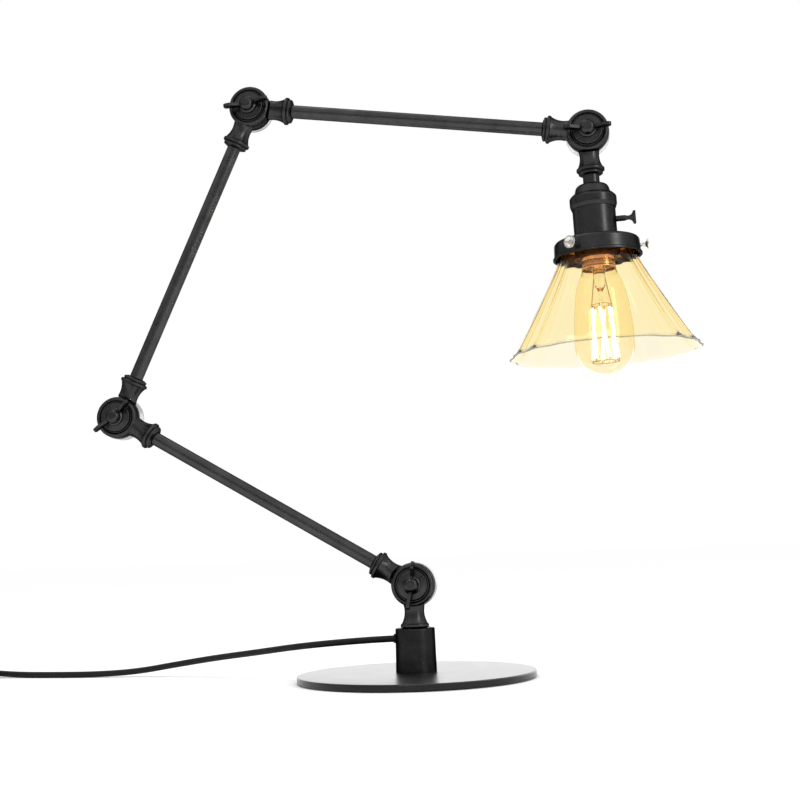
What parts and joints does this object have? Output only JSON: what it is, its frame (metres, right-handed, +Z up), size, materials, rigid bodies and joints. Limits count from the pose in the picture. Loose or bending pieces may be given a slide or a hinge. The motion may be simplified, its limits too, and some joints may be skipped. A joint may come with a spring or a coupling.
{
  "type": "swing-arm table lamp",
  "caption": "Table lamp with jointed metal arms on clamp knuckles, a round base, a turn-key lampholder and a fluted glass shade over a tubular bulb.",
  "frame": {"origin": "centre of the underside of the base, on the table", "axes": "+X to the right in the plane of the arms, +Y away from the wing nuts, +Z up"},
  "size_m": [0.7063, 0.181, 0.4457],
  "materials": {
    "black_metal": "satin black paint",
    "steel": "bright zinc",
    "nickel": "bright nickel",
    "brass": "bright",
    "shade_glass": "clear pale amber",
    "bulb_glass": "clear amber",
    "filament": "lit filament",
    "cord_rubber": "matte black",
    "lead": "insulated wire",
    "nylon": "natural nylon",
    "phenolic": "moulded phenolic",
    "card": "insulating card",
    "pad": "foam pad"
  },
  "bodies": {
    "base": {"base_plate": "black_metal", "base_pad": "pad", "post": "black_metal", "post_nipple": "steel", "post_screw": "steel", "post_washer": "steel", "cord_bushing": "cord_rubber", "base_knuckle": "black_metal", "base_lead": "lead", "base_friction_ring": "nylon", "cord": "cord_rubber", "cord_coil": "cord_rubber", "coil_tie": "cord_rubber", "plug_body": "cord_rubber", "plug_blades": "nickel"},
    "lower_arm": {"lower_knuckle_in": "black_metal", "lower_rod": "black_metal", "lower_lead": "lead", "lower_knuckle_out": "black_metal", "lower_friction_ring": "nylon", "base_bolt": "steel"},
    "middle_arm": {"middle_knuckle_in": "black_metal", "middle_rod": "black_metal", "middle_lead": "lead", "middle_knuckle_out": "black_metal", "middle_friction_ring": "nylon", "lower_bolt": "steel"},
    "upper_arm": {"upper_knuckle_in": "black_metal", "upper_rod": "black_metal", "upper_lead": "lead", "upper_knuckle_out": "black_metal", "upper_friction_ring": "nylon", "middle_bolt": "steel"},
    "head": {"head_knuckle": "black_metal", "head_bolt": "steel", "socket_cap": "black_metal", "socket_shell": "black_metal", "socket_liner": "card", "terminal_block": "phenolic", "switch_body": "phenolic", "screw_shell": "brass", "centre_contact": "brass", "head_leads": "lead", "shade_holder": "black_metal", "holder_ring": "black_metal", "shade": "shade_glass", "bulb_glass": "bulb_glass", "bulb_cap": "brass", "bulb_tip": "brass", "bulb_stem": "bulb_glass", "bulb_filaments": "filament"},
    "base_wing_nut": {"base_wing_nut": "black_metal"},
    "lower_wing_nut": {"lower_wing_nut": "black_metal"},
    "middle_wing_nut": {"middle_wing_nut": "black_metal"},
    "head_wing_nut": {"head_wing_nut": "black_metal"},
    "switch_key": {"switch_key": "black_metal"},
    "thumb_screw_1": {"thumb_screw_1": "nickel"},
    "thumb_screw_2": {"thumb_screw_2": "nickel"},
    "thumb_screw_3": {"thumb_screw_3": "nickel"}
  },
  "joints": [
    {"name": "base_pivot", "type": "hinge", "parent": "base", "child": "lower_arm", "pos_m": [0, 0, 0.0664], "axis": [0, 1, 0], "range_deg": [-25, 45]},
    {"name": "lower_elbow", "type": "hinge", "parent": "lower_arm", "child": "middle_arm", "pos_m": [-0.21966, 0, 0.19787], "axis": [0, -1, 0], "range_deg": [-26, 110]},
    {"name": "upper_elbow", "type": "hinge", "parent": "middle_arm", "child": "upper_arm", "pos_m": [-0.11228, 0, 0.43026], "axis": [0, -1, 0], "range_deg": [-30, 110]},
    {"name": "head_pivot", "type": "hinge", "parent": "upper_arm", "child": "head", "pos_m": [0.14049, 0, 0.38977], "axis": [0, 1, 0], "range_deg": [-130, 45]},
    {"name": "base_wing_nut_turn", "type": "hinge", "parent": "lower_arm", "child": "base_wing_nut", "pos_m": [0, 0, 0.0664], "axis": [0, -1, 0], "continuous": true},
    {"name": "lower_wing_nut_turn", "type": "hinge", "parent": "middle_arm", "child": "lower_wing_nut", "pos_m": [-0.21966, 0, 0.19787], "axis": [0, -1, 0], "continuous": true},
    {"name": "middle_wing_nut_turn", "type": "hinge", "parent": "upper_arm", "child": "middle_wing_nut", "pos_m": [-0.11228, 0, 0.43026], "axis": [0, -1, 0], "continuous": true},
    {"name": "head_wing_nut_turn", "type": "hinge", "parent": "head", "child": "head_wing_nut", "pos_m": [0.14049, 0, 0.38977], "axis": [0, -1, 0], "continuous": true},
    {"name": "switch_key_turn", "type": "hinge", "parent": "head", "child": "switch_key", "pos_m": [0.14223, 0, 0.32329], "axis": [0.9997, 0, 0.0262], "continuous": true},
    {"name": "thumb_screw_1_turn", "type": "hinge", "parent": "head", "child": "thumb_screw_1", "pos_m": [0.14278, 0, 0.3023], "axis": [0.999, -0.0349, 0.0262], "continuous": true},
    {"name": "thumb_screw_2_turn", "type": "hinge", "parent": "head", "child": "thumb_screw_2", "pos_m": [0.14278, 0, 0.3023], "axis": [-0.5297, -0.848, -0.0139], "continuous": true},
    {"name": "thumb_screw_3_turn", "type": "hinge", "parent": "head", "child": "thumb_screw_3", "pos_m": [0.14278, 0, 0.3023], "axis": [-0.4693, 0.8829, -0.0123], "continuous": true}
  ]
}
